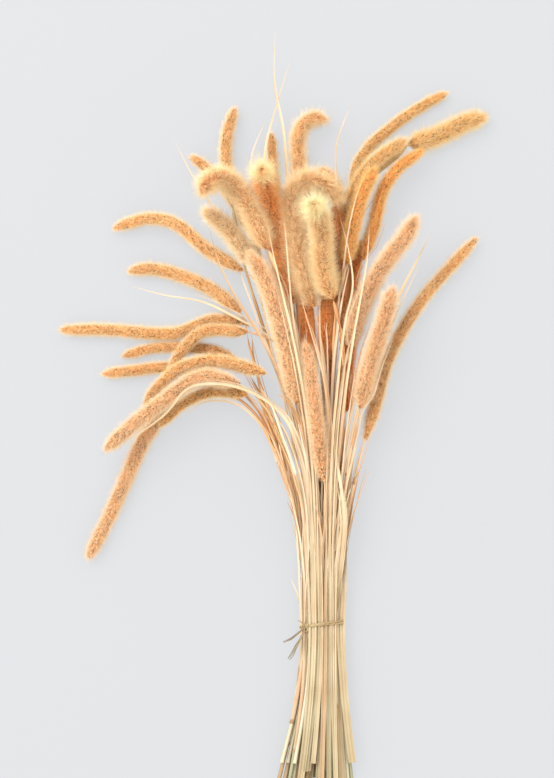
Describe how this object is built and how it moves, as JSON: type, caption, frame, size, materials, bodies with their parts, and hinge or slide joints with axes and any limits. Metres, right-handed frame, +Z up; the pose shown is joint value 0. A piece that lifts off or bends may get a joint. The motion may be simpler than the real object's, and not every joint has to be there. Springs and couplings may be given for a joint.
{
  "type": "bundle of foxtail grass",
  "caption": "Dried foxtail grass with arching bristly heads and loose leaf blades, held by a knotted raffia tie, lying on its side for display or arranging.",
  "frame": {"origin": "on the surface that the bunch lies on, under the middle of its outline", "axes": "+Z up from the surface, +Y along the bunch from the cut ends to the heads, +X to the right seen from above"},
  "size_m": [0.374, 0.6802, 0.0998],
  "materials": {
    "stalk": "dried grass culm with a peach, bristly head, matte",
    "leaf": "dried leaf blade, straw, satin, with parallel veins",
    "tie": "raffia strand, dull olive straw, fibrous"
  },
  "bodies": {
    "root": {"stalk_01": "stalk", "stalk_02": "stalk", "stalk_03": "stalk", "stalk_04": "stalk", "stalk_05": "stalk", "stalk_06": "stalk", "stalk_07": "stalk", "stalk_08": "stalk", "stalk_09": "stalk", "stalk_10": "stalk", "stalk_11": "stalk", "stalk_12": "stalk", "stalk_13": "stalk", "stalk_14": "stalk", "stalk_15": "stalk", "stalk_16": "stalk", "stalk_17": "stalk", "stalk_18": "stalk", "stalk_19": "stalk", "stalk_20": "stalk", "stalk_21": "stalk", "stalk_22": "stalk", "stalk_23": "stalk", "stalk_24": "stalk", "stalk_25": "stalk", "stalk_26": "stalk", "stalk_27": "stalk", "stalk_28": "stalk", "stalk_29": "stalk", "stalk_30": "stalk", "stalk_31": "stalk", "stalk_32": "stalk", "stalk_33": "stalk", "stalk_34": "stalk", "stalk_35": "stalk", "stalk_36": "stalk", "leaf_01": "leaf", "leaf_02": "leaf", "leaf_03": "leaf", "leaf_04": "leaf", "leaf_05": "leaf", "leaf_06": "leaf", "leaf_07": "leaf", "leaf_08": "leaf", "leaf_09": "leaf", "leaf_10": "leaf", "leaf_11": "leaf", "leaf_12": "leaf", "leaf_13": "leaf", "leaf_14": "leaf", "leaf_15": "leaf", "leaf_16": "leaf", "raffia_tie": "tie"}
  },
  "joints": []
}
